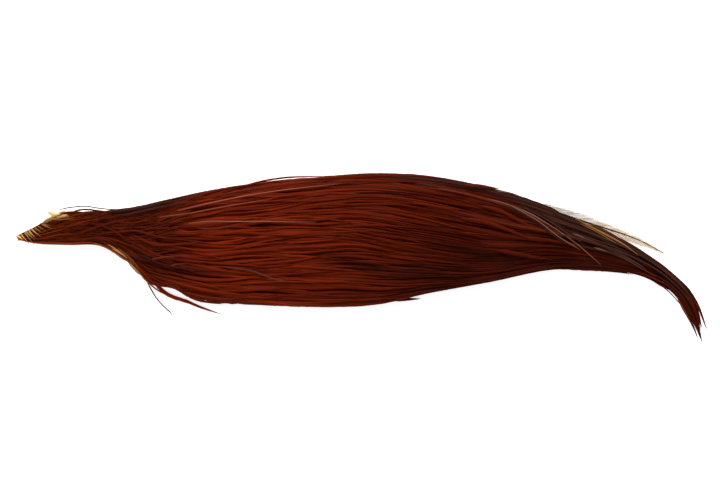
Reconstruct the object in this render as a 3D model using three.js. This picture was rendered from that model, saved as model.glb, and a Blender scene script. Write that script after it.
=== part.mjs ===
import * as THREE from 'three';

// Rooster neck cape: a dried strip of neck skin with rows of long narrow hackles, laid flat.
// Millimetres, +Z up from the table. +X runs from the head end to the hackle tips.

// The two edges of the feather mass, from the head end to the tail tips.
// Each station gives lower x, lower y, upper x, upper y.
const EDGE_STATIONS = [
  [-158.5, 8.5, -159, 10],
  [-148, 6.5, -149.5, 14.5],
  [-134, 6, -137, 21],
  [-119.5, 5.5, -121, 22.5],
  [-107.5, -2, -106.5, 23],
  [-96.5, -12, -90.5, 26.5],
  [-74.5, -20, -67.5, 31.5],
  [-49, -21.5, -44.5, 35],
  [-21.5, -22.5, -19, 37.5],
  [6, -21.5, 8.5, 39],
  [31.5, -16, 36, 37],
  [59, -11, 66, 30.5],
  [86.5, -5.5, 93.5, 21],
  [112, -5.5, 120, 9.5],
  [130.5, -9, 136.5, -1.5],
  [143, -18, 148.5, -12],
  [150.5, -28.5, 155, -21.5],
  [155, -38, 158.5, -31.5],
  [156, -42, 160.5, -35],
];

// Rows of hackles, head end first. A row lies on top of every later row.
// root and length are measured along the middle of the cape.
// inset is the bare share of the width at each edge, and aside adds to it at the upper edge, where
// the cream hackle lies.
// taper is the share of the length where the taper to the point begins.
const ROWS = [
  { root: 1.5, length: 16, count: 2, inset: 0.04, slot: 'buff_hackle' },
  { root: 10, length: 22, count: 3, inset: 0.03, slot: 'buff_hackle' },
  { root: 21, length: 30, count: 3, inset: 0.03, slot: 'red_hackle' },
  { root: 34, length: 44, count: 4, inset: 0.02, slot: 'red_hackle' },
  { root: 50, length: 62, count: 5, inset: 0.01, slot: 'red_hackle' },
  { root: 70, length: 84, count: 6, inset: 0.01, slot: 'red_hackle' },
  { root: 94, length: 108, count: 7, inset: 0.02, slot: 'red_hackle' },
  { root: 118, length: 132, count: 8, inset: 0.02, slot: 'red_hackle' },
  { root: 142, length: 152, count: 8, inset: 0.01, slot: 'red_hackle' },
  { root: 166, length: 172, count: 8, inset: 0, aside: 0.13, taper: 0.8, slot: 'red_hackle' },
];
const EDGE_SHORTER = 0.03; // share by which the outermost hackles of a row are shorter
const LENGTH_SPREAD = 0.02; // share by which single hackles differ in length
const ROW_SWAY = 0.012; // share of the width by which a row wanders sideways, except the last one

// Cream hackle: its shaft follows the upper edge of the cape from the place where it leaves it,
// and its outer vane stands clear of the other hackles.
const CREAM = { root: 168, length: 129, share: 0.955, leaves: 236, drift: 0.55, outerVane: 3, innerVane: 1.6 };
const CREAM_TAPER = 0.7;

// Skin
const SKIN_THICKNESS = 1.2;
const SKIN_START = 0.8; // from the head tip, along the middle
const SKIN_END = 171; // cut edge at the broad end
const SKIN_EDGE_SHARE = 0.16; // bare share of the width at each side
const SKIN_HEAD_SHARE = 0.2; // the same at the head end
// Where the skin shows past the feathers: middle, reach and share of the width by which it is wider
const SKIN_SHOWS_BELOW = { middle: 52, reach: 12, wider: 0.22 };
const SKIN_FLAP_ABOVE = { middle: 20, reach: 5, wider: 0.36 };

// Pile
const CLEARANCE = 0.4; // between one layer and the next
const THIN_PITCH = 0.95; // layer height where the pile is thinnest
const FULL_PITCH = 2.6; // layer height in the full middle of the pile
const LEAD = 34; // run over which a layer rises onto the next row
const SIDE_GAP = 0.2; // half the gap between neighbouring hackles, less where the cape is narrow

// Single hackle
const ROOT_SPREAD = 0.66; // width of a row where it grows from the skin, as a share of its full width
const FAN_OUT = 0.24; // share of the length over which a row opens to its full width
const QUILL_SHARE = 0.24; // width of the bare quill as a share of the full width
const TAPER_FROM = 0.5; // usual start of the taper
// Section of a hackle as across, up: roof-shaped with a narrow flat shaft on top.
const SECTION = [
  [-1, -0.25],
  [-0.14, 0.5],
  [0.14, 0.5],
  [1, -0.25],
  [0.35, -0.5],
  [-0.35, -0.5],
];

const COLORS = {
  skin: 0xb8935a,
  buff_hackle: 0xa98352,
  red_hackle: 0x5a1c0c,
  cream_hackle: 0xc9b48c,
};

const materials = {};
for (const [slot, color] of Object.entries(COLORS)) {
  materials[slot] = new THREE.MeshStandardMaterial({ color, roughness: 0.55, metalness: 0 });
}
const part = new THREE.Group();
part.name = 'rooster_neck_cape';

function addMesh(name, geometry, slot) {
  const mesh = new THREE.Mesh(geometry, materials[slot].clone());
  mesh.material.name = slot;
  mesh.name = name;
  part.add(mesh);
}

const ramp = (from, to, x) => THREE.MathUtils.smoothstep(x, from, to);
const mix = THREE.MathUtils.lerp;

// Places on the cape by distance along the middle and share of the width from the lower edge
const lowerEdge = new THREE.SplineCurve(EDGE_STATIONS.map(([x, y]) => new THREE.Vector2(x, y)));
const upperEdge = new THREE.SplineCurve(EDGE_STATIONS.map(([, , x, y]) => new THREE.Vector2(x, y)));
const SPINE_STEPS = 400;
const spine = [0];
for (let i = 1; i <= SPINE_STEPS; i += 1) {
  const here = lowerEdge.getPoint(i / SPINE_STEPS).lerp(upperEdge.getPoint(i / SPINE_STEPS), 0.5);
  const last = (i - 1) / SPINE_STEPS;
  const before = lowerEdge.getPoint(last).lerp(upperEdge.getPoint(last), 0.5);
  spine.push(spine[i - 1] + here.distanceTo(before));
}

function edgesAt(along) {
  let i = 1;
  while (i < SPINE_STEPS && spine[i] < along) {
    i += 1;
  }
  const t = (i - 1 + (along - spine[i - 1]) / (spine[i] - spine[i - 1])) / SPINE_STEPS;
  return [lowerEdge.getPoint(Math.min(t, 1)), upperEdge.getPoint(Math.min(t, 1))];
}

function onCape(along, share) {
  const [lower, upper] = edgesAt(along);
  return lower.lerp(upper, share);
}

function widthAt(along) {
  const [lower, upper] = edgesAt(along);
  return lower.distanceTo(upper);
}

function sideGap(along) {
  const width = widthAt(along);
  return Math.min(SIDE_GAP / width, 0.011);
}

// Height of one layer, thinner toward the head, the tail and both sides
function layerPitch(along, share) {
  const lengthwise = mix(0.12, 1, ramp(0, 110, along)) * mix(1, 0.25, ramp(200, 325, along));
  const crosswise = 1 - 0.6 * Math.min((2 * share - 1) ** 2, 1);
  return mix(THIN_PITCH, FULL_PITCH, lengthwise * crosswise);
}

// Underside of a row: on the skin or the table, raised by each later row that lies under it
function undersideOf(row, along, share) {
  const endwise = 1 - ramp(SKIN_END + 2, SKIN_END + 30, along);
  const nearEdge = Math.min(ramp(0, SKIN_EDGE_SHARE, share), ramp(0, SKIN_EDGE_SHARE, 1 - share));
  const sidewise = mix(1, nearEdge, ramp(68, 105, along));
  let rise = 0;
  for (const later of ROWS.slice(row + 1)) {
    rise += ramp(later.root - LEAD, later.root - 1, along);
  }
  const base = (SKIN_THICKNESS + CLEARANCE) * endwise * sidewise;
  return base + rise * layerPitch(along, share);
}

// A hackle is a closed solid of rings between the end of its quill and its pointed tip.
function hackleGeometry(rings, place) {
  const geometry = new THREE.SphereGeometry(1, SECTION.length, rings);
  const position = geometry.attributes.position;
  const uv = geometry.attributes.uv;
  for (let i = 0; i < position.count; i += 1) {
    const ring = Math.floor(i / (SECTION.length + 1));
    const [across, up] = SECTION[(i % (SECTION.length + 1)) % SECTION.length];
    const isEnd = ring === 0 || ring === rings;
    const run = ring === 1 ? 0.015 : ring / rings;
    const point = place(run, isEnd ? 0 : across, isEnd ? 0 : up);
    position.setXYZ(i, point.x, point.y, point.z);
    uv.setXY(i, across, run);
  }
  geometry.computeVertexNormals();
  return geometry;
}

// Share of the width at a place of a row, which opens out from the skin
function fanned(share, run, spread = ROOT_SPREAD) {
  return 0.5 + (share - 0.5) * mix(spread, 1, ramp(0, FAN_OUT, run));
}

function fullnessAt(run, taperFrom = TAPER_FROM) {
  const quill = mix(QUILL_SHARE, 1, ramp(0.04, 0.24, run));
  const taper = Math.min(1, Math.max(0, (1 - run) / (1 - taperFrom))) ** 0.75;
  return quill * taper;
}

// Skin: pointed at the head, cut square at the broad end, flat underneath
const bulge = (shape, along) => shape.wider * ramp(0, 1, 1 - Math.abs(along - shape.middle) / shape.reach);
const skinOutline = [];
for (const side of [0, 1]) {
  const STEPS = 56;
  for (let i = 0; i <= STEPS; i += 1) {
    const step = side === 0 ? i : STEPS - i;
    const along = mix(SKIN_START, SKIN_END, step / STEPS);
    const bare = mix(SKIN_HEAD_SHARE, SKIN_EDGE_SHARE, ramp(0, 60, along));
    const lower = bare - bulge(SKIN_SHOWS_BELOW, along);
    const upper = 1 - bare + bulge(SKIN_FLAP_ABOVE, along);
    skinOutline.push(onCape(along, side === 0 ? lower : upper));
  }
}
const skin = new THREE.ExtrudeGeometry(new THREE.Shape(skinOutline), {
  depth: SKIN_THICKNESS,
  bevelEnabled: false,
});
addMesh('skin', skin, 'skin');

// Hackles in rows
let number = 0;
ROWS.forEach((shape, row) => {
  const laneAt = (along) => {
    const aside = (shape.aside ?? 0) * (1 - ramp(CREAM.leaves + 19, CREAM.leaves + 64, along));
    return (1 - 2 * shape.inset - aside) / shape.count;
  };
  const spread = row < 3 ? 0.9 : ROOT_SPREAD;
  const rowSway = row < ROWS.length - 1 ? ROW_SWAY : 0;
  for (let i = 0; i < shape.count; i += 1) {
    const uneven = LENGTH_SPREAD * Math.abs(Math.sin(12.9 * row + 4.1 * i));
    const shorter = EDGE_SHORTER * ((2 * i + 1) / shape.count - 1) ** 2;
    const length = shape.length * (1 - shorter - uneven);
    const rings = Math.round(length / 12) + 5;
    const geometry = hackleGeometry(rings, (run, across, up) => {
      const along = shape.root + length * run;
      const lane = laneAt(along);
      const middle = shape.inset + lane * (i + 0.5);
      const fullness = fullnessAt(run, shape.taper);
      const half = (lane / 2 - sideGap(along)) * fullness;
      const sway = rowSway * Math.sin(along / 30 + 2 * row) * ramp(0, 0.4, run);
      const open = fanned(middle, (along - shape.root) / shape.length, spread);
      const share = open + sway + across * half;
      const thickness = layerPitch(along, share) - CLEARANCE;
      const spot = onCape(along, share);
      const height = undersideOf(row, along, share) + thickness * (0.5 + up * mix(0.6, 1, fullness));
      return new THREE.Vector3(spot.x, spot.y, height);
    });
    number += 1;
    addMesh(`hackle_${String(number).padStart(2, '0')}`, geometry, shape.slot);
  }
});

// Cream hackle
const cream = hackleGeometry(20, (run, across, up) => {
  const along = CREAM.root + CREAM.length * run;
  const off = Math.max(0, (along - CREAM.leaves) / (CREAM.root + CREAM.length - CREAM.leaves));
  const vane = (across > 0 ? CREAM.outerVane : CREAM.innerVane) * mix(0.6, 1, ramp(0.2, 0.5, run));
  const middle = fanned(CREAM.share, run) + CREAM.drift * off ** 3.5;
  const share = middle + (across * vane * fullnessAt(run, CREAM_TAPER)) / widthAt(along);
  const spot = onCape(along, share);
  const height = undersideOf(ROWS.length - 1, along, Math.min(share, 1)) + 0.5 + 0.5 * up;
  return new THREE.Vector3(spot.x, spot.y, height);
});
addMesh('cream_hackle', cream, 'cream_hackle');

// Hackles that have strayed from the lower edge, each on its own line of x, y from quill to tip
const STRAY_HACKLES = {
  stray_hackle_01: {
    line: [[-97, -6.4], [-94.5, -11.8], [-90.5, -15.8], [-86, -18.2], [-80.5, -19.9], [-73.5, -22.8], [-64, -26]],
    halfWidth: 1,
    thickness: 0.8,
    rings: 12,
  },
  stray_hackle_02: {
    line: [[-100, -7.3], [-98, -12], [-95, -17.3], [-91.3, -21.8], [-86.6, -26]],
    halfWidth: 0.5,
    thickness: 0.5,
    rings: 10,
  },
};
for (const [name, shape] of Object.entries(STRAY_HACKLES)) {
  const line = new THREE.SplineCurve(shape.line.map(([x, y]) => new THREE.Vector2(x, y)));
  const geometry = hackleGeometry(shape.rings, (run, across, up) => {
    const spot = line.getPoint(run);
    const heading = line.getTangent(run);
    const half = across * shape.halfWidth * fullnessAt(run);
    const height = shape.thickness * (0.5 + up * mix(0.6, 1, fullnessAt(run)));
    return new THREE.Vector3(spot.x - heading.y * half, spot.y + heading.x * half, height);
  });
  addMesh(name, geometry, 'red_hackle');
}

// The origin is the middle of the underside.
const middleOfPart = new THREE.Box3().setFromObject(part).getCenter(new THREE.Vector3());
for (const mesh of part.children) {
  mesh.geometry.translate(-middleOfPart.x, -middleOfPart.y, 0);
}

export default part;
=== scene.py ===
import math

import bpy
import numpy as np
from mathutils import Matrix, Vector


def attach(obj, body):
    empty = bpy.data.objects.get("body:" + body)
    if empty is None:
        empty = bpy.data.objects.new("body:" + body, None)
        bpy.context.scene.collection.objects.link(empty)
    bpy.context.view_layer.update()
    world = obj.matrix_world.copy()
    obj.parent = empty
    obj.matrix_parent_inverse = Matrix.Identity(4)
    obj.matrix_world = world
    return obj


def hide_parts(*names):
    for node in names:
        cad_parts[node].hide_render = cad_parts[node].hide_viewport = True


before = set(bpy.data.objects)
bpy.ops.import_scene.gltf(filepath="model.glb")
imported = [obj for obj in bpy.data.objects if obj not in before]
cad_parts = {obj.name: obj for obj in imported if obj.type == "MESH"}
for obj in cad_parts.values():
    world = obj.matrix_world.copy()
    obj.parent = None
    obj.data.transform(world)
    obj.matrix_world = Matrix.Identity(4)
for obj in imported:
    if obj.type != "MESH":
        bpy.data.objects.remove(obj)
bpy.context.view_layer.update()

# Floor, light and camera
# The cape lies on a plain white table and is seen from straight above. Two large soft lights and an even
# pale surround leave only a faint shadow under it.
bpy.ops.mesh.primitive_plane_add(size=8.0, location=(0, 0, -0.0004))
floor = bpy.context.object
bpy.ops.object.transform_apply(location=True)
floor.name = "table"
floor_material = bpy.data.materials.new("table_white")
floor_material.use_nodes = True
floor_shader = floor_material.node_tree.nodes["Principled BSDF"]
floor_shader.inputs["Base Color"].default_value = (0.93, 0.93, 0.93, 1)
floor_shader.inputs["Roughness"].default_value = 0.9
floor_shader.inputs["Emission Color"].default_value = (1, 1, 1, 1)
floor_shader.inputs["Emission Strength"].default_value = 0.6
floor.data.materials.append(floor_material)

scene = bpy.context.scene
scene.view_settings.view_transform = "Standard"
scene.world = bpy.data.worlds.new("studio")
scene.world.use_nodes = True
scene.world.node_tree.nodes["Background"].inputs["Color"].default_value = (1, 1, 1, 1)
scene.world.node_tree.nodes["Background"].inputs["Strength"].default_value = 0.3
for light_name, place, size, power in [
    ("top_softbox", (-0.1, 0.9, 0.9), 0.7, 19.0),
    ("front_softbox", (0.2, -0.9, 1.2), 1.2, 7.0),
]:
    bpy.ops.object.light_add(type="AREA", location=place)
    light = bpy.context.object
    light.name = light_name
    light.data.size = size
    light.data.energy = power
    light.rotation_euler = (-Vector(place)).to_track_quat("-Z", "Y").to_euler()

# The picture is 720 pixels wide and 0.46 mm a pixel at the table, and its middle is 8 mm above the origin.
PICTURE_WIDTH = 720 * 0.00046
CAMERA_HEIGHT = 1.1
bpy.ops.object.camera_add(location=(-0.0005, 0.0078, CAMERA_HEIGHT), rotation=(0, 0, 0))
camera = bpy.context.object
camera.data.sensor_width = 36.0
camera.data.lens = camera.data.sensor_width * CAMERA_HEIGHT / PICTURE_WIDTH
camera.data.clip_end = 20.0
scene.camera = camera

# Neck skin
# A dried strip of skin, pointed at the head and cut off at the broad end. It is waxy, yellowish and
# finely wrinkled, with rows of raised pores where the quills grow out of it.
MM = 0.001
ORIGIN_SHIFT = (0.169, -0.494)  # from the outline's own origin to the middle of the part, mm
EDGE_STATIONS = np.array([  # the two edges of the feather mass, mm: lower x, lower y, upper x, upper y
    (-158.5, 8.5, -159, 10), (-148, 6.5, -149.5, 14.5), (-134, 6, -137, 21),
    (-119.5, 5.5, -121, 22.5), (-107.5, -2, -106.5, 23), (-96.5, -12, -90.5, 26.5),
    (-74.5, -20, -67.5, 31.5), (-49, -21.5, -44.5, 35), (-21.5, -22.5, -19, 37.5),
    (6, -21.5, 8.5, 39), (31.5, -16, 36, 37), (59, -11, 66, 30.5),
    (86.5, -5.5, 93.5, 21), (112, -5.5, 120, 9.5), (130.5, -9, 136.5, -1.5),
    (143, -18, 148.5, -12), (150.5, -28.5, 155, -21.5), (155, -38, 158.5, -31.5),
    (156, -42, 160.5, -35),
])
SKIN_START, SKIN_END = 0.8, 171.0  # mm from the head tip, along the middle
SKIN_THICKNESS = 1.2
SKIN_EDGE_SHARE = 0.16  # share of the width between the skin and the edge of the pile, at each side
SKIN_CELLS = (260, 44)
PORE_SPACING = (4.2, 3.4)


def spline(points, count):
    """Points on a smooth curve through the given ones, evenly many between each pair."""
    t = np.linspace(0, len(points) - 1, count)
    i = np.minimum(t.astype(int), len(points) - 2)
    f = (t - i)[:, None]
    last = len(points) - 1
    p0, p1 = points[np.maximum(i - 1, 0)], points[i]
    p2, p3 = points[np.minimum(i + 1, last)], points[np.minimum(i + 2, last)]
    v0, v1 = (p2 - p0) / 2, (p3 - p1) / 2
    return (2 * p1 - 2 * p2 + v0 + v1) * f**3 + (3 * p2 - 3 * p1 - 2 * v0 - v1) * f**2 + v0 * f + p1


stations = spline(EDGE_STATIONS, 1201)
lower_edge = stations[:, :2] + ORIGIN_SHIFT
upper_edge = stations[:, 2:] + ORIGIN_SHIFT
spine_steps = np.linalg.norm(np.diff((lower_edge + upper_edge) / 2, axis=0), axis=1)
spine = np.concatenate([[0], np.cumsum(spine_steps)])
edge_distance = np.linalg.norm(upper_edge - lower_edge, axis=1)


def width_at(along):
    return np.interp(along, spine, edge_distance)


def on_cape(along, share):
    """x and y in mm of a place given by distance along the cape and share of its width."""
    lower = np.stack([np.interp(along, spine, lower_edge[:, c]) for c in (0, 1)], axis=-1)
    upper = np.stack([np.interp(along, spine, upper_edge[:, c]) for c in (0, 1)], axis=-1)
    return lower + (upper - lower) * np.asarray(share)[..., None]


def ramp(low, high, x):
    t = np.clip((x - low) / (high - low), 0, 1)
    return t * t * (3 - 2 * t)


def mix(a, b, t):
    return a + (b - a) * t


bpy.ops.mesh.primitive_grid_add(x_subdivisions=SKIN_CELLS[0], y_subdivisions=SKIN_CELLS[1], size=2)
skin = bpy.context.object
skin.name = "neck_skin"
grid = np.empty(len(skin.data.vertices) * 3)
skin.data.vertices.foreach_get("co", grid)
grid = grid.reshape(-1, 3)
skin_along = mix(SKIN_START, SKIN_END, (grid[:, 0] + 1) / 2)
ripple = 0.006 * np.sin(skin_along / 3.1) + 0.008 * np.sin(skin_along / 7.7 + grid[:, 1])
bare_below = mix(0.08, SKIN_EDGE_SHARE, ramp(15, 60, skin_along)) + ripple
bare_above = mix(0.04, SKIN_EDGE_SHARE, ramp(15, 60, skin_along)) + ripple
shows_below = 0.18 * ramp(0, 1, 1.2 - np.abs(skin_along - 57) / 8)
flap_above = 0.11 * ramp(0, 1, 1 - np.abs(skin_along - 22) / 6)
skin_share = mix(bare_below - shows_below, 1 - bare_above + flap_above, (grid[:, 1] + 1) / 2)
skin_place = on_cape(skin_along, skin_share)
uneven_cut = 1.2 * np.sin(grid[:, 1] * 7) + 0.6 * np.sin(grid[:, 1] * 19)
skin_place[:, 0] -= uneven_cut * ramp(0.9, 1, grid[:, 0])
pores = np.sin(skin_along * 2 * math.pi / PORE_SPACING[0])
pores = pores * np.sin(skin_share * width_at(skin_along) * 2 * math.pi / PORE_SPACING[1])
wrinkles = 0.5 * np.sin(skin_along * 0.9 + 3 * np.sin(skin_share * 9))
wrinkles = wrinkles + np.sin(skin_along * 0.37 + skin_share * 5)
skin_height = SKIN_THICKNESS - 0.25 + 0.12 * np.maximum(pores, 0) ** 2 + 0.05 * wrinkles
grid = np.column_stack([skin_place, skin_height]) * MM
skin.data.vertices.foreach_set("co", grid.ravel())
skin.data.update()
solidify = skin.modifiers.new("thickness", "SOLIDIFY")
solidify.thickness = (SKIN_THICKNESS - 0.4) * MM
solidify.offset = -1
bpy.ops.object.modifier_apply(modifier=solidify.name)
bpy.ops.object.shade_smooth()

skin_material = bpy.data.materials.new("dried_skin")
skin_material.use_nodes = True
nodes, links = skin_material.node_tree.nodes, skin_material.node_tree.links
shader = nodes["Principled BSDF"]
coordinates = nodes.new("ShaderNodeTexCoord")
blotches = nodes.new("ShaderNodeTexNoise")
blotches.inputs["Scale"].default_value = 120
blotches.inputs["Detail"].default_value = 6
grain = nodes.new("ShaderNodeTexVoronoi")
grain.inputs["Scale"].default_value = 900
skin_color = nodes.new("ShaderNodeValToRGB")
skin_color.color_ramp.elements[0].position = 0.3
skin_color.color_ramp.elements[0].color = (0.52, 0.32, 0.10, 1)
skin_color.color_ramp.elements[1].position = 0.7
skin_color.color_ramp.elements[1].color = (0.88, 0.71, 0.28, 1)
skin_roughness = nodes.new("ShaderNodeMapRange")
skin_roughness.inputs["To Min"].default_value = 0.45
skin_roughness.inputs["To Max"].default_value = 0.7
skin_bump = nodes.new("ShaderNodeBump")
skin_bump.inputs["Strength"].default_value = 0.5
skin_bump.inputs["Distance"].default_value = 0.0002
shader.inputs["Subsurface Weight"].default_value = 0.1
shader.inputs["Subsurface Scale"].default_value = 0.002
links.new(coordinates.outputs["Object"], blotches.inputs["Vector"])
links.new(coordinates.outputs["Object"], grain.inputs["Vector"])
links.new(blotches.outputs["Fac"], skin_color.inputs["Fac"])
links.new(skin_color.outputs["Color"], shader.inputs["Base Color"])
links.new(blotches.outputs["Fac"], skin_roughness.inputs["Value"])
links.new(skin_roughness.outputs["Result"], shader.inputs["Roughness"])
links.new(grain.outputs["Distance"], skin_bump.inputs["Height"])
links.new(skin_bump.outputs["Normal"], shader.inputs["Normal"])
skin.data.materials.append(skin_material)
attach(skin, "root")
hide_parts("skin")

# Red-brown hackles
# Several hundred long narrow feathers grow from the skin in close rows and lie over each other like
# shingles, the head-side ones on top. Each has a stiff shaft, and its barbs fold down along both sides.
ACROSS = np.array([-1, -0.72, -0.4, -0.1, 0.1, 0.4, 0.72, 1])
CROWN = 1 - np.abs(ACROSS) ** 1.6
STEP = 2.4  # mm between the cross-sections of a hackle
ROW_ROOTS = np.array([1.5, 10, 21, 34, 50, 70, 94, 118, 142, 166])
ROW_LENGTHS = np.array([16, 22, 30, 44, 62, 84, 108, 132, 152, 172])
ROOT_SPREAD = 0.66  # width of a row where it grows from the skin, as a share of its full width
FAN_OUT = 0.24  # share of the length over which a row opens to its full width
LEAD = 34.0  # mm over which a layer rises onto the next row
THIN_PITCH, FULL_PITCH = 0.95, 2.6  # layer height at the thin edges and in the full middle, mm
CLEARANCE = 0.4  # between the skin and the first layer, mm
LONGEST_REACH = 326  # mm from the head tip to the usual end of the longest hackles
TIP_ROOT = 163.0  # where those grow that end in the tips
HACKLE_SPACING = 2.7  # mm between hackles of a row


def layer_pitch(along, share):
    lengthwise = mix(0.12, 1, ramp(0, 110, along)) * mix(1, 0.25, ramp(200, 325, along))
    crosswise = 1 - 0.6 * np.minimum((2 * share - 1) ** 2, 1)
    return mix(THIN_PITCH, FULL_PITCH, lengthwise * crosswise)


def underside_of(row, along, share):
    """Height in mm under a hackle of a row; a row between two whole ones lies between them."""
    endwise = 1 - ramp(SKIN_END + 2, SKIN_END + 30, along)
    near_edge = np.minimum(ramp(0, SKIN_EDGE_SHARE, share), ramp(0, SKIN_EDGE_SHARE, 1 - share))
    sidewise = mix(1, near_edge, ramp(68, 105, along))
    rise = 0
    for later, root in enumerate(ROW_ROOTS):
        rise = rise + np.clip(later - row, 0, 1) * ramp(root - LEAD, root - 1, along)
    return (SKIN_THICKNESS + CLEARANCE) * endwise * sidewise + rise * layer_pitch(along, share)


def silky_barbs():
    """Node group of barbs: long streaks, finer slanted barbs, a thin shaft line, a tone per feather and
    painted shade.
    """
    group = bpy.data.node_groups.new("silky_barbs", "ShaderNodeTree")
    for direction, kind, names in (
        ("INPUT", "NodeSocketColor", ("Light", "Dark", "Cool Light", "Cool Dark", "Shaft")),
        ("OUTPUT", "NodeSocketColor", ("Color",)),
        ("OUTPUT", "NodeSocketFloat", ("Roughness",)),
        ("OUTPUT", "NodeSocketVector", ("Normal",)),
    ):
        for socket_name in names:
            group.interface.new_socket(socket_name, in_out=direction, socket_type=kind)
    nodes, links = group.nodes, group.links
    given = nodes.new("NodeGroupInput").outputs
    result = nodes.new("NodeGroupOutput").inputs

    def math_node(operation, a, b=None):
        node = nodes.new("ShaderNodeMath")
        node.operation = operation
        for socket, value in zip(node.inputs, (a, b)):
            if isinstance(value, (int, float)):
                socket.default_value = value
            elif value is not None:
                links.new(value, socket)
        return node.outputs[0]

    def noise(x, y, z, detail):
        vector = nodes.new("ShaderNodeCombineXYZ")
        for socket, value in zip(vector.inputs, (x, y, z)):
            links.new(value, socket)
        texture = nodes.new("ShaderNodeTexNoise")
        texture.inputs["Scale"].default_value = 1.0
        texture.inputs["Detail"].default_value = detail
        links.new(vector.outputs[0], texture.inputs["Vector"])
        return texture.outputs["Fac"]

    def rescale(value, low, high, start, end):
        node = nodes.new("ShaderNodeMapRange")
        limits = (("From Min", low), ("From Max", high), ("To Min", start), ("To Max", end))
        for socket_name, limit in limits:
            node.inputs[socket_name].default_value = limit
        links.new(value, node.inputs["Value"])
        return node.outputs["Result"]

    def blend(factor, a, b, how="MIX"):
        node = nodes.new("ShaderNodeMix")
        node.data_type = "RGBA"
        node.blend_type = how
        node.inputs["Factor"].default_value = 1.0
        if factor is not None:
            links.new(factor, node.inputs["Factor"])
        links.new(a, node.inputs["A"])
        links.new(b, node.inputs["B"])
        return node.outputs["Result"]

    uv = nodes.new("ShaderNodeUVMap")
    uv.uv_map = "strand"
    split = nodes.new("ShaderNodeSeparateXYZ")
    links.new(uv.outputs["UV"], split.inputs["Vector"])
    across, along = split.outputs["X"], split.outputs["Y"]
    looks = nodes.new("ShaderNodeAttribute")
    looks.attribute_name = "feather"
    channels = nodes.new("ShaderNodeSeparateColor")
    links.new(looks.outputs["Color"], channels.inputs["Color"])
    tone, coolness, shaft_shows = (channels.outputs[c] for c in ("Red", "Green", "Blue"))

    seed = math_node("MULTIPLY", tone, 90.0)
    aside = math_node("ABSOLUTE", across)
    slant = math_node("SUBTRACT", along, math_node("MULTIPLY", aside, 2.4))
    streaks = noise(math_node("MULTIPLY", across, 2.0), math_node("MULTIPLY", along, 0.05), seed, 2)
    barbs = noise(math_node("MULTIPLY", slant, 2.2), math_node("MULTIPLY", across, 0.4), seed, 3)
    level = math_node("ADD", math_node("MULTIPLY", streaks, 1.1), math_node("MULTIPLY", barbs, 0.35))
    level = rescale(math_node("ADD", level, math_node("MULTIPLY", tone, 0.5)), 0.55, 1.4, 0.0, 1.0)
    warm = blend(level, given["Dark"], given["Light"])
    cool = blend(level, given["Cool Dark"], given["Cool Light"])
    color = blend(coolness, warm, cool)
    shaft_line = math_node("MULTIPLY", rescale(aside, 0.1, 0.22, 1.0, 0.0), shaft_shows)
    color = blend(shaft_line, color, given["Shaft"])
    bump = nodes.new("ShaderNodeBump")
    bump.inputs["Strength"].default_value = 0.5
    bump.inputs["Distance"].default_value = 0.00025
    links.new(math_node("ADD", barbs, streaks), bump.inputs["Height"])
    # The colour is multiplied by the Alpha of 'feather': painted shade and painted highlight, with each
    # strand's own tone.
    links.new(blend(None, color, looks.outputs["Alpha"], "MULTIPLY"), result["Color"])
    links.new(rescale(barbs, 0.0, 1.0, 0.36, 0.6), result["Roughness"])
    links.new(bump.outputs["Normal"], result["Normal"])
    return group


barbs_group = silky_barbs()


def hackle_material(name, **colors):
    material = bpy.data.materials.new(name)
    material.use_nodes = True
    nodes, links = material.node_tree.nodes, material.node_tree.links
    shader = nodes["Principled BSDF"]
    shader.inputs["Specular IOR Level"].default_value = 0.03
    barbs = nodes.new("ShaderNodeGroup")
    barbs.node_tree = barbs_group
    for socket_name, color in colors.items():
        barbs.inputs[socket_name.replace("_", " ").title()].default_value = (*color, 1)
    for output, socket_name in (("Color", "Base Color"), ("Roughness", "Roughness"), ("Normal", "Normal")):
        links.new(barbs.outputs[output], shader.inputs[socket_name])
    return material


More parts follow.
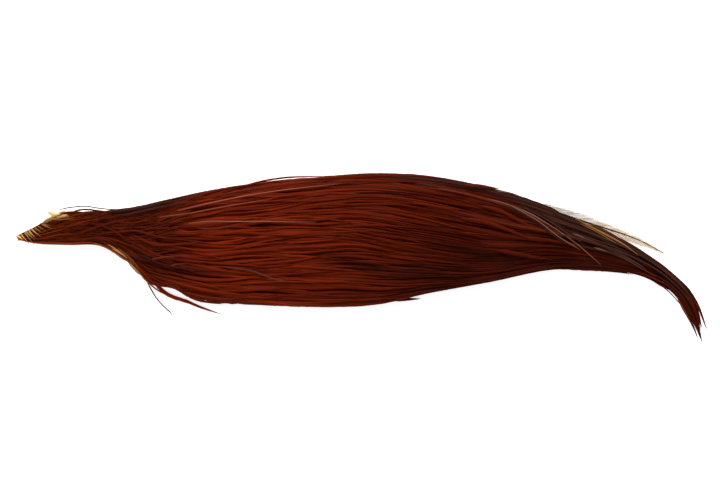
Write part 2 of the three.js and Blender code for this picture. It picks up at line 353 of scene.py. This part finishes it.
def strand_object(name, strands, material):
    """One joined mesh of hackles, each with points along it (mm), widths, crown heights, roll, tone and
    painted shade.
    """
    points, faces, strand_uv, bake_uv, tones = [], [], [], [], []
    start = 0
    columns = len(ACROSS)
    lanes = len(strands)
    for lane, strand in enumerate(strands):
        centre, half, crown, roll = strand["centre"], strand["half"], strand["crown"], strand["roll"]
        heading = np.gradient(centre[:, :2], axis=0)
        heading /= np.linalg.norm(heading, axis=1)[:, None] + 1e-9
        side = np.column_stack([-heading[:, 1], heading[:, 0]])
        ragged = np.ones((len(centre), columns))
        ragged[:, [0, -1]] = strand["ragged"]
        offset = ACROSS[None, :] * half[:, None] * ragged
        place = centre[:, None, :2] + side[:, None, :] * offset[:, :, None]
        height = centre[:, 2, None] + crown[:, None] * CROWN[None, :] + offset * roll[:, None]
        height = np.maximum(height, 0.05)
        points.append(np.concatenate([place, height[:, :, None]], axis=2).reshape(-1, 3))
        rings = len(centre)
        i, j = np.meshgrid(np.arange(rings - 1), np.arange(columns - 1), indexing="ij")
        corner = (start + i * columns + j).ravel()
        quad = np.stack([corner, corner + columns, corner + columns + 1, corner + 1], axis=1)
        faces.append(quad)
        distance = np.concatenate([[0], np.cumsum(np.linalg.norm(np.diff(centre, axis=0), axis=1))])
        uv = np.stack([offset, np.broadcast_to(distance[:, None], offset.shape)], axis=2).reshape(-1, 2)
        strand_uv.append(uv)
        run = np.broadcast_to((distance / distance[-1])[:, None], offset.shape)
        strip = (lane + 0.5 + 0.42 * np.broadcast_to(ACROSS[None, :], offset.shape)) / lanes
        bake_uv.append(np.stack([0.002 + 0.996 * run, strip], axis=2).reshape(-1, 2))
        tone = np.ones((rings, columns, 4))
        tone[:, :, 0] = strand["tone"]
        tone[:, :, 1] = np.asarray(strand["cool"]).reshape(-1, 1)
        tone[:, :, 2] = strand["shaft"]
        # Fourth channel: a colour factor of painted shade and painted highlight, with each strand's own
        # lighter or darker tone.
        tone[:, :, 3] = np.asarray(strand.get("shade", 1.0)).reshape(-1, 1)
        tones.append(tone.reshape(-1, 4))
        start += rings * columns
    points = np.concatenate(points) * MM
    faces = np.concatenate(faces)
    mesh = bpy.data.meshes.new(name)
    mesh.vertices.add(len(points))
    mesh.vertices.foreach_set("co", points.ravel())
    mesh.loops.add(faces.size)
    mesh.loops.foreach_set("vertex_index", faces.ravel())
    mesh.polygons.add(len(faces))
    mesh.polygons.foreach_set("loop_start", np.arange(len(faces)) * 4)
    mesh.polygons.foreach_set("use_smooth", np.ones(len(faces), dtype=bool))
    mesh.update(calc_edges=True)
    corners = faces.ravel()
    for layer_name, values in (("strand", strand_uv), ("OFBake", bake_uv)):
        layer = mesh.uv_layers.new(name=layer_name)
        layer.data.foreach_set("uv", np.concatenate(values)[corners].ravel())
    color = mesh.color_attributes.new("feather", "FLOAT_COLOR", "POINT")
    color.data.foreach_set("color", np.concatenate(tones).ravel())
    mesh.materials.append(material)
    piece = bpy.data.objects.new(name, mesh)
    scene.collection.objects.link(piece)
    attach(piece, "root")
    return piece


def tone_and_painted_shade_at(along, share):
    """Painted shade and own tone: darker to the tail, lower side and neck, and in shallow valleys between
    sweeps.
    """
    # Toward the tail and the lower side this is partly the cape's own colour and partly painted shade.
    shade = mix(1, 0.55, ramp(70, 225, along)) * (1 - (1 - share) * mix(0.12, 0.55, ramp(150, 215, along)))
    shade = shade * (1 - mix(0.32, 0.48, share) * ramp(16, 52, along) * ramp(98, 66, along))
    shade = shade * (1 - 0.14 * ramp(0.68, 0.85, share) * ramp(110, 140, along) * ramp(215, 190, along))
    # The valleys between sweeps are painted shade, as in hollows.
    for first, last, first_share, last_share in (
        (52, 104, 0.27, 0.24), (138, 204, 0.42, 0.10), (188, 238, 0.46, 0.21),
    ):
        run = np.clip((along - first) / (last - first), 0, 1)
        off = (share - mix(first_share, last_share, run)) / 0.045
        shade = shade * (1 - 0.6 * np.sin(run * math.pi) ** 0.5 * np.exp(-(off**2)))
    return shade


def row_hackle(
    rng, root, target, length, half, taper=0.45, drift=0.03, sweep=0.0, lift=0.0, flat=1.0, **looks
):
    """A hackle of the rows: grows at root (mm along the skin) and runs out along share target."""
    rings = max(7, int(length / STEP) + 2)
    run = np.linspace(0, 1, rings)
    along = np.minimum(root + length * run, spine[-1])
    width = width_at(along)
    row = np.interp(root, ROW_ROOTS, np.arange(len(ROW_ROOTS)))
    open_out = mix(ROOT_SPREAD if root > 30 else 0.97, 1, ramp(0, FAN_OUT, run))
    wander = drift * (rng.normal() * run**1.4 + 0.35 * np.sin(run * rng.uniform(3, 9) + rng.uniform(0, 6)))
    fullness = mix(0.3, 1, ramp(0.02, 0.2, run)) * np.clip((1 - run) / (1 - taper), 0, 1) ** 0.7
    half = half * fullness * mix(1, 0.55, ramp(45, 12, width))
    share = 0.5 + (target - 0.5) * open_out + wander + sweep * (ramp(0, 1, run) - 0.5)
    # Over the tail the hackles of the first rows lean toward the lower edge.
    share = np.clip(share, 0.001, 1) ** (1 + 0.9 * ramp(135, 122, root) * ramp(150, 235, along))
    # The pile draws back from the outline at the neck, under the cream hackle and below the tail.
    low_gap = sum(
        depth * ramp(0, 1, 1 - np.abs(along - middle) / reach)
        for depth, middle, reach in ((0.055, 77, 11), (0.05, 57, 8), (0.22, 311, 8))
    )
    high_gap = 0.05 * ramp(242, 252, along) * ramp(300, 285, along)
    high_gap = high_gap + 0.085 * ramp(0, 1, 1 - np.abs(along - 37) / 13)
    share = np.clip(share, low_gap + half / width, 1 - high_gap - half / width)
    place = on_cape(along, share)
    lift = rng.uniform(0, 0.35) + lift
    height = underside_of(row, along, share) + lift * layer_pitch(along, share)
    height = mix(SKIN_THICKNESS, height, ramp(0, 0.14, run))
    return {
        "centre": np.column_stack([place, height]),
        "half": half + 0.02,
        "crown": 0.75 * flat * half * rng.uniform(0.6, 1.1) + 0.05,
        "roll": np.full(rings, rng.normal() * 0.22 * flat),
        "ragged": 1 - 0.3 * rng.random((rings, 2)) ** 2,
        "tone": rng.random(),
        # shade: painted shade and the cape's own darkening, times each hackle's own brightness
        "shade": tone_and_painted_shade_at(along, share) * looks.get("bright", 1.0),
        "cool": looks.get("cool", lambda along, share: 0 * along)(along, share),
        "shaft": looks.get("shaft", 0.0),
    }


def drawn_strand(rng, points, half, taper=0.5, crown=0.5, step=1.5, **looks):
    """A strand through x, y, z points (mm) from root to tip."""
    length = np.concatenate([[0], np.cumsum(np.linalg.norm(np.diff(points, axis=0), axis=1))])
    rings = max(6, int(length[-1] / step))
    run = np.linspace(0, 1, rings)
    fullness = mix(0.35, 1, ramp(0.0, 0.2, run)) * np.clip((1 - run) / (1 - taper), 0, 1) ** 0.75
    return {
        "centre": np.column_stack([np.interp(run * length[-1], length, points[:, c]) for c in range(3)]),
        "half": half * fullness + 0.02,
        "crown": crown * half * fullness,
        "roll": np.zeros(rings),
        "ragged": 1 - 0.2 * rng.random((rings, 2)) ** 2,
        "tone": looks.get("tone", 0.6),
        "shade": looks.get("shade", 1.0),
        "cool": np.full(rings, looks.get("cool", 0.0)),
        "shaft": looks.get("shaft", 0.0),
    }


def surface_strand(rng, line, half, over=0.9, **looks):
    """A strand on top of the pile, along its own line of places on the cape: along, share."""
    along, share = spline(np.array(line, dtype=float), 400).T
    top_row = np.interp(along, ROW_ROOTS + 0.9 * ROW_LENGTHS, np.arange(len(ROW_ROOTS))) - 0.5
    height = underside_of(top_row, along, np.clip(share, 0, 1)) + over
    return drawn_strand(rng, np.column_stack([on_cape(along, share), height]), half, **looks)


red_hackles = hackle_material(
    "red_hackle_barbs", light=(0.215, 0.0170, 0.0006), dark=(0.076, 0.0050, 0.0002),
    cool_light=(0.095, 0.046, 0.034), cool_dark=(0.020, 0.008, 0.005), shaft=(0.26, 0.10, 0.06),
)
rng = np.random.default_rng(7)
root_rows = np.concatenate([np.arange(24, 60, 3.4), np.arange(60, 168.5, 3.3)])
groups = {"upper_hackles": [], "middle_hackles": [], "lower_hackles": []}
for number, root_row in enumerate(root_rows):
    across_count = int(0.72 * width_at(root_row + 20) / HACKLE_SPACING) + 1
    for lane in range(across_count):
        target = (lane + 0.5 + 0.35 * rng.normal() + 0.5 * (number % 2)) / (across_count + 0.5)
        root = root_row + rng.uniform(-1.2, 1.2)
        length = np.interp(root, ROW_ROOTS, ROW_LENGTHS) * (1 - 0.14 * rng.random() ** 1.3)
        length = min(length, LONGEST_REACH + rng.uniform(-13, 3) - root)
        hackle = row_hackle(
            rng, root, np.clip(target, 0.0, 1.0), length, rng.uniform(1.0, 1.7),
            taper=mix(0.45, 0.88, ramp(110, 150, root)), drift=mix(0.05, 0.03, ramp(50, 100, root)),
            bright=rng.uniform(0.75, 1.12) * rng.uniform(mix(1, 0.5, ramp(100, 150, root)), 1.05),
        )
        group = "upper_hackles" if root < 82 else "middle_hackles" if root < 130 else "lower_hackles"
        groups[group].append(hackle)
# The longest ones end in three separate tips, two below and one above.
for target, end, half in (
    (0.0, 334.5, 1.2), (0.03, 331, 1.2), (0.08, 326, 1.2), (0.24, 338, 1.3), (0.3, 336, 1.3),
    (0.37, 334, 1.3), (0.46, 333, 1.3), (0.54, 332.5, 1.3), (0.62, 332, 1.3), (0.70, 330, 1.3),
    (0.79, 328, 1.3), (0.87, 327, 1.2), (1.0, 337, 1.2), (0.98, 334, 1.2), (0.94, 327, 1.2),
    (0.15, 325, 1.2),
):
    hackle = row_hackle(
        rng, TIP_ROOT, target, end - TIP_ROOT, half, taper=0.93, drift=0.002, lift=0.3,
        bright=rng.uniform(0.5, 1.5),
    )
    groups["lower_hackles"].append(hackle)
# Thin ones on top are painted pale as sheen lines (painted highlight) along the upper side; a few cross
# near the neck.
for line, half, looks in (
    ([(74, 0.85), (88, 0.88), (104, 0.90), (130, 0.92), (150, 0.93)], 0.3,
     dict(cool=0.6, shade=1.5, shaft=0.4)),
    ([(66, 0.80), (80, 0.81), (95, 0.83), (118, 0.85)], 0.28, dict(cool=0.6, shade=1.1, shaft=0.4)),
    ([(90, 0.93), (108, 0.945), (126, 0.95)], 0.4, dict(cool=0.2, shade=0.35)),
    ([(80, 0.71), (90, 0.715), (104, 0.69), (128, 0.66), (140, 0.65)], 0.28,
     dict(cool=0.7, shade=1.4, shaft=0.5)),
    ([(84, 0.66), (92, 0.65), (104, 0.67)], 0.3, dict(cool=0.5, shade=0.9)),
    ([(100, 0.31), (110, 0.285), (116, 0.25), (123, 0.21), (131, 0.195)], 0.35,
     dict(cool=0.7, shade=1.0)),
    ([(190, 0.9), (205, 0.89), (220, 0.87)], 0.35, dict(cool=0.4, shade=1.0)),
    ([(40, 0.36), (48, 0.50), (55, 0.60), (62, 0.59), (69, 0.56), (80, 0.57)], 0.5,
     dict(tone=0.7, shade=0.5)),
    ([(56, 0.52), (66, 0.47), (76, 0.50), (88, 0.54)], 0.5, dict(tone=0.7, shade=0.6)),
    ([(62, 0.22), (68, 0.32), (76, 0.38), (84, 0.40)], 0.35, dict(tone=0.9, shade=0.8, cool=0.3)),
    ([(72, 0.24), (77, 0.30), (83, 0.33)], 0.3, dict(tone=0.9, shade=0.8, cool=0.4)),
    ([(30, 0.12), (38, 0.22), (46, 0.30), (56, 0.34), (70, 0.35)], 0.4, dict(tone=0.7, shade=0.5)),
    ([(28, 0.30), (36, 0.45), (44, 0.66), (52, 0.80)], 0.45, dict(tone=0.6, shade=0.5)),
    ([(24, 0.40), (33, 0.56), (42, 0.76), (50, 0.85)], 0.45, dict(tone=0.3, shade=0.35)),
    ([(34, 0.60), (44, 0.52), (54, 0.40), (66, 0.33)], 0.5, dict(tone=0.3, shade=0.4)),
    ([(43, 0.93), (52, 0.97), (62, 0.97), (74, 0.965)], 0.9, dict(tone=0.3, cool=0.8, shade=0.6)),
    ([(48, 0.86), (58, 0.91), (70, 0.92), (84, 0.92)], 0.7, dict(tone=0.4, cool=0.6, shade=0.45)),
    ([(54, 0.16), (60, 0.22), (66, 0.26), (78, 0.27), (92, 0.28)], 0.6,
     dict(tone=0.2, cool=0.3, shade=0.35)),
    ([(58, 0.26), (64, 0.28), (70, 0.26), (76, 0.24)], 0.8, dict(tone=0.2, cool=0.2, shade=0.3)),
    ([(205, 0.66), (216, 0.64), (226, 0.59), (238, 0.50)], 1.1, dict(tone=0.7, shade=0.48)),
    ([(212, 0.80), (222, 0.78), (232, 0.70), (240, 0.62)], 0.9, dict(tone=0.8, shade=0.48)),
    ([(222, 0.36), (234, 0.29), (244, 0.22), (250, 0.18)], 1.0, dict(tone=0.7, shade=0.36)),
):
    groups["upper_hackles"].append(surface_strand(rng, line, half, over=0.7, **looks))
rows_of = {
    "upper_hackles": range(6, 24), "middle_hackles": range(24, 39), "lower_hackles": range(39, 55),
}
for name, strands in groups.items():
    piece = strand_object(name, strands, red_hackles)
    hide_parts(*[f"hackle_{i:02d}" for i in rows_of[name]])

# Grey-brown top hackles
# Some broad, flat, duller hackles lie on top along the upper side of the tail. Darker and paler ones among
# them make streaks, and a few frayed ends are painted pale as highlights.


def coolness_on_top(along, share):
    """The grey-brown reaches down from the upper edge, farther and farther toward the tips."""
    return 0.7 * ramp(0, 0.12, share - mix(0.88, 0.25, ramp(218, 278, along)))


strands = []
for number in range(22):
    root = 118 + 1.9 * number
    target = 0.99 - 0.3 * ((number * 0.618) % 1)
    end = rng.uniform(262, 322)
    strands.append(row_hackle(
        rng, root, target, end - root, rng.uniform(0.8, 1.6), taper=0.7, drift=0.012, lift=0.5, flat=0.5,
        sweep=-0.1, cool=coolness_on_top, shaft=0.5 * rng.random(), bright=rng.uniform(0.5, 1.5),
    ))
for line, half, looks in (
    ([(280, 0.78), (286, 0.76), (291, 0.72), (297, 0.62), (303, 0.53), (309, 0.55), (316, 0.6)], 1.0,
     dict(tone=0.1, cool=0.6, shade=0.12)),
    ([(252, 0.80), (263, 0.78), (270, 0.74), (279, 0.66), (288, 0.58), (296, 0.5)], 0.8,
     dict(tone=0.2, cool=1.0, shade=0.4)),
    ([(262, 0.66), (271, 0.60), (280, 0.54), (288, 0.46), (294, 0.36)], 0.55,
     dict(tone=0.9, cool=1.0, shade=1.0)),
    ([(268, 0.55), (276, 0.50), (284, 0.44), (292, 0.32), (300, 0.25)], 0.4,
     dict(tone=0.6, cool=0.9, shade=0.9)),
    ([(302, 0.86), (309, 0.93), (316, 0.96), (322, 0.98), (327, 1.0)], 0.55,
     dict(tone=0.2, cool=0.7, shade=0.35)),
    ([(306, 0.7), (314, 0.75), (322, 0.8), (330, 0.9)], 0.4, dict(tone=0.3, cool=0.6, shade=0.3)),
    ([(296, 0.3), (306, 0.42), (316, 0.4), (326, 0.36)], 0.4, dict(tone=0.5, cool=0.7, shade=0.5)),
    ([(290, 0.1), (300, 0.15), (306, 0.28), (314, 0.30)], 0.45, dict(tone=0.7, shade=0.5)),
    ([(284, 0.86), (296, 0.8), (308, 0.78), (318, 0.72)], 0.5, dict(tone=0.9, shade=0.6)),
    # Frayed ends painted pale as highlights.
    ([(256, 0.68), (260, 0.665), (264, 0.63)], 0.3, dict(cool=1.0, shade=2.0, tone=0.9)),
    ([(264, 0.64), (270, 0.60), (276, 0.55)], 0.35, dict(cool=1.0, shade=2.2, tone=0.9)),
    ([(267, 0.52), (272, 0.50), (277, 0.49)], 0.25, dict(cool=1.0, shade=2.2, tone=0.9)),
    ([(314, 0.12), (320, 0.06), (326, 0.03)], 0.22, dict(cool=0.5, shade=1.6, tone=0.9)),
    ([(274, 0.93), (288, 0.90), (302, 0.88), (314, 0.86)], 0.5, dict(tone=0.2, cool=0.3, shade=0.35)),
    ([(262, 0.88), (276, 0.83), (290, 0.82), (304, 0.80)], 0.4, dict(tone=0.2, cool=0.3, shade=0.3)),
    ([(308, 0.86), (318, 0.82), (326, 0.74), (333, 0.60)], 0.5, dict(tone=0.1, cool=0.5, shade=0.2)),
    ([(308, 0.60), (318, 0.55), (328, 0.45), (335, 0.30)], 0.4, dict(tone=0.1, cool=0.5, shade=0.25)),
):
    strands.append(surface_strand(rng, line, half, over=0.9, **looks))
piece = strand_object("grey_brown_hackles", strands, red_hackles)

# Head-end feathers
# The smallest feathers of the neck. Each is buff at its quill end and red-brown beyond, and they sweep
# from the lower edge up. The first few stand as pale bars across the tip of the skin.
head_hackles = hackle_material(
    "head_barbs", light=(0.66, 0.37, 0.12), dark=(0.30, 0.13, 0.03),
    cool_light=(0.200, 0.0235, 0.0030), cool_dark=(0.070, 0.0080, 0.0010), shaft=(0.5, 0.3, 0.15),
)
HEAD_END = 36  # mm from the head tip to the last of these feathers
PALE_BARS, BAR_RINGS = 12, 12
strands = []
for root in np.arange(0.8, HEAD_END, 2.2):
    for target in np.linspace(0, 1, 12) ** 1.5:
        strands.append(row_hackle(
            rng, root, target, 14 + 0.4 * root, 0.24 + 0.03 * root, taper=0.7, drift=0.01,
            lift=-rng.uniform(0.4, 1.7),
            cool=lambda along, share, root=root: ramp(root - 1, root + 2, along),
        ))
for root in np.arange(1.0, HEAD_END, 1.5):
    for target in np.linspace(0.0, 0.97, 5 + int(root / 3.5)):
        length = np.interp(root, ROW_ROOTS, ROW_LENGTHS) * rng.uniform(0.85, 1.1) + 2
        buff_length = 0.2 + 1.6 * rng.random() ** 2 * ramp(0.6, 1, target)
        strands.append(row_hackle(
            rng, root + rng.uniform(-0.5, 0.5), target, length, rng.uniform(0.45, 0.85), drift=0.04,
            sweep=0.4 * ramp(6, 22, root) * ramp(0.1, 0.35, target),
            cool=lambda along, share, turn=root + buff_length: ramp(turn - 0.5, turn + 0.8, along),
            bright=rng.uniform(0.65, 1.15),
        ))
for number in range(PALE_BARS):
    t = np.linspace(0, 1, BAR_RINGS)
    start = 0.3 + 1.35 * number + rng.uniform(-0.8, 0.8)
    reach = ramp(2, 10, number)
    share = mix(1.0, mix(0.1, 0.84, reach) + rng.uniform(-0.3, 0.1), t)
    along = start + (1.2 + 0.42 * number + rng.uniform(-1.1, 1.3)) * t**1.4
    place = on_cape(along, share)
    height = mix(SKIN_THICKNESS + 0.2, underside_of(0, along, share) + 1.0, ramp(0, 4, along))
    strands.append({
        "centre": np.column_stack([place, height + 0.4 * np.sin(t * math.pi)]),
        "half": mix(0.5, 0.14, t) * rng.uniform(0.5, 1.3), "crown": mix(0.4, 0.15, t),
        "roll": np.zeros(BAR_RINGS), "ragged": np.ones((BAR_RINGS, 2)), "tone": rng.uniform(0.4, 1),
        "cool": mix(0.3 * reach, 0.9, ramp(0.45, 1, t)), "shaft": 0.0,
        "shade": rng.uniform(0.6, 1.5) * mix(1.15, 0.45, reach),
    })
piece = strand_object("head_feathers", strands, head_hackles)
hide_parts(*[f"hackle_{i:02d}" for i in range(1, 6)])

# Buff streaks
# Pale quill ends and single buff barbs that show along the upper side of the head, on the lower edge of
# the neck and once over the tail.
strands = []
for line, half, looks in (
    ([(12.5, 0.99), (15, 0.94), (18.5, 0.90)], 0.35, dict(shade=0.7, cool=0.4)),
    ([(14.5, 1.0), (18, 0.98), (23, 0.95)], 0.5, dict(shade=1.0, cool=0.1)),
    ([(17, 0.93), (21, 0.87), (27, 0.83)], 0.4, dict(shade=0.7, cool=0.35)),
    ([(20, 0.84), (23.5, 0.78), (29, 0.75)], 0.25, dict(shade=0.5, cool=0.5)),
    ([(5, 0.06), (12, 0.06), (22, 0.05), (32, 0.05), (40, 0.05)], 0.35, dict(shade=1.5, cool=1.0)),
    ([(35, 0.05), (41, 0.02), (46, 0.02), (52, 0.04), (57, 0.07)], 0.25, dict(shade=1.0, cool=0.7)),
    ([(43, 0.12), (47, 0.12), (51, 0.10), (56, 0.07)], 0.24, dict(shade=1.0, cool=0.25)),
    ([(45, 0.08), (49, 0.09), (53, 0.07)], 0.2, dict(shade=1.1, cool=0.15)),
    ([(41, 0.08), (46, 0.07), (52, 0.08), (60, 0.09), (68, 0.04)], 0.35, dict(shade=1.0, cool=1.0)),
    ([(48, 0.16), (54, 0.13), (60, 0.10)], 0.3, dict(shade=0.9, cool=0.85)),
    ([(58, 0.06), (62, 0.03), (66, 0.0), (70, -0.03)], 0.3, dict(shade=1.2, cool=0.9)),
    ([(255, 0.96), (262, 0.92), (270, 0.88), (279, 0.83), (287, 0.73)], 0.42,
     dict(shade=0.8, cool=0.5, over=1.9)),
    ([(258, 0.90), (266, 0.86), (273, 0.80), (278, 0.76)], 0.22, dict(shade=0.7, cool=0.6, over=1.7)),
    ([(262, 0.97), (270, 0.94), (278, 0.90), (286, 0.86)], 0.7, dict(shade=0.45, cool=0.8)),
):
    strands.append(surface_strand(rng, line, half, **{"over": 1.4, "taper": 0.6, **looks}))
piece = strand_object("buff_streaks", strands, head_hackles)

# Skin flap
# A torn corner of the dried skin at the upper side of the head, bare and pointed. It is still part of the
# skin and curls up over the feathers beside it.


def free_strand(rng, line, half, height=0.25, **looks):
    """A strand off the pile, along its own line of x, y and perhaps z (mm, from the outline's origin)."""
    points = spline(np.array(line, dtype=float), 400)
    if points.shape[1] == 2:
        points = np.column_stack([points, np.full(len(points), height)])
    return drawn_strand(rng, points + (*ORIGIN_SHIFT, 0), half, **looks)


flap_line = [
    (-132, 19.4, 2.4), (-135.5, 19.3, 3.9), (-139, 19.6, 4.2), (-141.5, 20.2, 4.3), (-144, 21.3, 4.6),
]
flap = free_strand(rng, flap_line, 1.05, taper=0.8, crown=0.3, step=0.6, shade=1.3)
piece = strand_object("skin_flap", [flap], skin_material)

# Cream hackle
# One pale hackle with a dark shaft along the upper side of the tail. Its barbs are thin and far enough
# apart for the white table to show between them, grey near the quill and tan toward the tip.
CREAM_ROOT, CREAM_LENGTH, CREAM_SHARE = 168, 129, 0.955
CREAM_LEAVES, CREAM_DRIFT = 236, 0.55  # where it leaves the pile, and how far by its tip
SHAFT_RINGS, BARB_RINGS = 70, 7
VANE_STATIONS = (0.53, 0.61, 0.66, 0.74, 0.84, 0.98)  # places along the shaft with a given barb reach
BARB_SPACING = 0.0024  # share of the shaft's length
cream_hackles = hackle_material(
    "cream_barbs", light=(0.80, 0.62, 0.42), dark=(0.52, 0.40, 0.27),
    cool_light=(0.64, 0.57, 0.50), cool_dark=(0.40, 0.35, 0.31), shaft=(0.012, 0.006, 0.004),
)
shaft_run = np.linspace(0, 1, SHAFT_RINGS)
shaft_along = CREAM_ROOT + CREAM_LENGTH * shaft_run
shaft_off = np.clip((shaft_along - CREAM_LEAVES) / (CREAM_ROOT + CREAM_LENGTH - CREAM_LEAVES), 0, 1)
shaft_share = 0.5 + (CREAM_SHARE - 0.5) * mix(ROOT_SPREAD, 1, ramp(0, FAN_OUT, shaft_run))
shaft_share = shaft_share + CREAM_DRIFT * shaft_off**3.5
shaft_place = on_cape(shaft_along, shaft_share)
shaft_height = underside_of(9, shaft_along, np.minimum(shaft_share, 1)) + 0.45
strands = [{
    "centre": np.column_stack([shaft_place, shaft_height + 0.25]),
    "half": 0.6 * (1 - shaft_run) ** 0.5 + 0.04, "crown": 0.45 * (1 - shaft_run) + 0.03,
    "roll": np.zeros(SHAFT_RINGS), "ragged": np.ones((SHAFT_RINGS, 2)), "tone": 0.2,
    "cool": np.ones(SHAFT_RINGS), "shaft": 1.0, "shade": mix(0.04, 1.0, ramp(0.8, 0.95, shaft_run)),
}]
heading = np.gradient(shaft_place, axis=0)
heading /= np.linalg.norm(heading, axis=1)[:, None]
for side, vane_at in ((1, (2.2, 3.2, 3.4, 2.6, 1.3, 0.25)), (-1, (1.4, 1.8, 2.0, 2.6, 2.5, 0.3))):
    for foot in np.arange(VANE_STATIONS[0], 0.985, BARB_SPACING):
        foot = foot + 0.004 * math.sin(foot * 900) + rng.uniform(-0.001, 0.001)
        place = np.array([np.interp(foot, shaft_run, shaft_place[:, c]) for c in (0, 1)])
        forward = np.array([np.interp(foot, shaft_run, heading[:, c]) for c in (0, 1)])
        outward = side * np.array([-forward[1], forward[0]])
        reach = np.interp(foot, VANE_STATIONS, vane_at) * rng.uniform(0.8, 1.08)
        t = np.linspace(0, 1, BARB_RINGS)
        sweep = reach * rng.uniform(2.3, 2.7) + 0.6
        barb = place + np.outer(t**0.85, outward * reach) + np.outer(t**1.15, forward * sweep)
        height = np.interp(foot, shaft_run, shaft_height) - 0.15 * t + 0.1 * rng.random()
        strands.append({
            "centre": np.column_stack([barb, height]), "half": mix(0.1, 0.05, t),
            "crown": np.full(BARB_RINGS, 0.05), "roll": np.zeros(BARB_RINGS),
            "ragged": np.ones((BARB_RINGS, 2)), "tone": rng.random(),
            "cool": np.full(BARB_RINGS, float(ramp(0.9, 0.6, foot))), "shaft": 0.0,
        })
piece = strand_object("cream_hackle_feather", strands, cream_hackles)
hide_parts("cream_hackle")

# Stray hackles
# Two thin hackles that have come away from the lower edge near the head and lie on the table. The wider
# one shows orange-brown barbs and has a loose one beside it, the other is little more than a shaft.
strands = []
for line, half, looks in (
    ([(-97, -6.4), (-94.5, -11.8), (-90.5, -15.8), (-86, -18.2), (-80.5, -19.9), (-73.5, -22.8),
      (-64, -26)], 0.9, dict(tone=0.95, shade=1.3)),
    ([(-100, -7.3), (-98, -12), (-95, -17.3), (-91.3, -21.8), (-86.3, -26.2)], 0.26,
     dict(tone=0.5, taper=0.9, cool=0.5)),
    ([(-100.5, -8), (-97.5, -11.6), (-94, -14.6), (-89.5, -17), (-84, -18.4)], 0.3,
     dict(tone=0.9, shade=1.6)),
):
    strands.append(free_strand(rng, line, half, **looks))
piece = strand_object("stray_hackles", strands, red_hackles)
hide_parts("stray_hackle_01", "stray_hackle_02")

# Hairs and wisps
# Single fine hair-like feathers that stand off the outline: arcs over the head end, thin strands along the
# upper edge, a tip at the lower edge, thin bare shafts across the tail and two grey hairs under the tail.
strands = []
for line, half, looks in (
    ([(-141, 21.1, 2), (-136, 22.8, 3), (-127.3, 23.8, 3), (-122, 23.1, 3), (-116, 22.4, 3),
      (-108.4, 22.1, 2.4)], 0.26, dict(cool=0.6, shade=1.2, taper=0.9)),
    ([(-134.2, 20.2, 3), (-130.8, 21.7, 3.4), (-126, 22.3, 3.2), (-121, 21.7, 3), (-114.4, 20.9, 2.4)],
     0.4, dict(cool=0.4, shade=0.6, taper=0.9)),
    ([(-131.6, 19.8, 3), (-126.5, 21.1, 3.2), (-121.3, 21.2, 3), (-116, 20.4, 2.6)], 0.35,
     dict(cool=0.3, shade=0.6, taper=0.9)),
    ([(-129, 20.2, 3), (-123, 20.4, 3.2), (-118, 21.3, 3), (-111, 21.6, 2.4)], 0.3,
     dict(shade=0.5, taper=0.9)),
    ([(-54, 33.4, 2), (-46, 35.2, 2.5), (-40, 36.3, 2.5), (-34, 37, 2.5), (-28, 37.3, 2.5),
      (-21, 37.5, 2.5), (-12, 37.9, 2.5)], 0.45, dict()),
    ([(20, 38.6, 3), (27, 37.9, 3), (35, 37.2, 3)], 0.4, dict(cool=0.2, shade=0.7)),
    ([(62, 31.4, 3.5), (68, 29.8, 3.5), (74, 27.8, 3)], 0.3, dict(cool=1.0, shade=3.5)),
    ([(4, -18.8, 2), (14, -18.9, 1.6), (22, -18.9, 1.2), (27.4, -18.7, 1)], 1.2,
     dict(cool=0.1, shade=0.5)),
    ([(84, -3.8, 2), (98, -4.6, 1.4), (110, -5.4, 1), (118, -6.3, 0.8), (125, -7.6, 0.6)], 1.0,
     dict(shade=0.6)),
    ([(137.5, -12.4), (141, -15.1), (144, -18.2), (146.8, -21.5)], 0.22, dict(cool=1.0, taper=0.9)),
    ([(139, -12.6), (142.4, -15.2), (145, -18), (147.3, -20.8)], 0.16,
     dict(cool=1.0, shade=1.4, taper=0.9)),
):
    strands.append(free_strand(rng, line, half, **looks))
for line, half, looks in (
    ([(205, 0.97), (212, 0.99), (220.3, 1.01)], 0.9, dict(cool=0.3, shade=0.6)),
    ([(219, 0.98), (225, 1.0), (231, 0.99)], 0.25, dict(cool=1.0, shade=3.0, taper=0.8)),
    ([(220, 0.87), (228, 0.855), (236, 0.82), (243, 0.75), (250, 0.66), (259, 0.51), (267, 0.32),
      (274, 0.12)], 0.16, dict(cool=0.9, shade=1.3, shaft=0.5, taper=0.85)),
    ([(215, 0.88), (222, 0.87), (229, 0.85), (237, 0.80), (244, 0.73)], 0.34,
     dict(cool=0.9, shade=1.5, tone=0.9)),
    ([(226, 0.86), (234, 0.80), (241, 0.73), (251, 0.56), (256, 0.49), (262, 0.40)],
     0.2, dict(cool=0.9, shade=1.4, shaft=0.5, taper=0.8)),
    ([(224, 0.84), (232, 0.79), (240, 0.71), (250, 0.54), (258, 0.44)], 0.5,
     dict(cool=0.7, shade=0.4, tone=0.2)),
    ([(232, 0.88), (244, 0.79), (254, 0.66), (263, 0.52)], 0.18, dict(cool=0.9, shade=1.1)),
    ([(230, 0.90), (242, 0.83), (252, 0.72), (262, 0.58)], 0.5, dict(cool=0.8, shade=0.4, tone=0.2)),
):
    strands.append(surface_strand(rng, line, half, over=1.5, **looks))
piece = strand_object("wisps", strands, red_hackles)
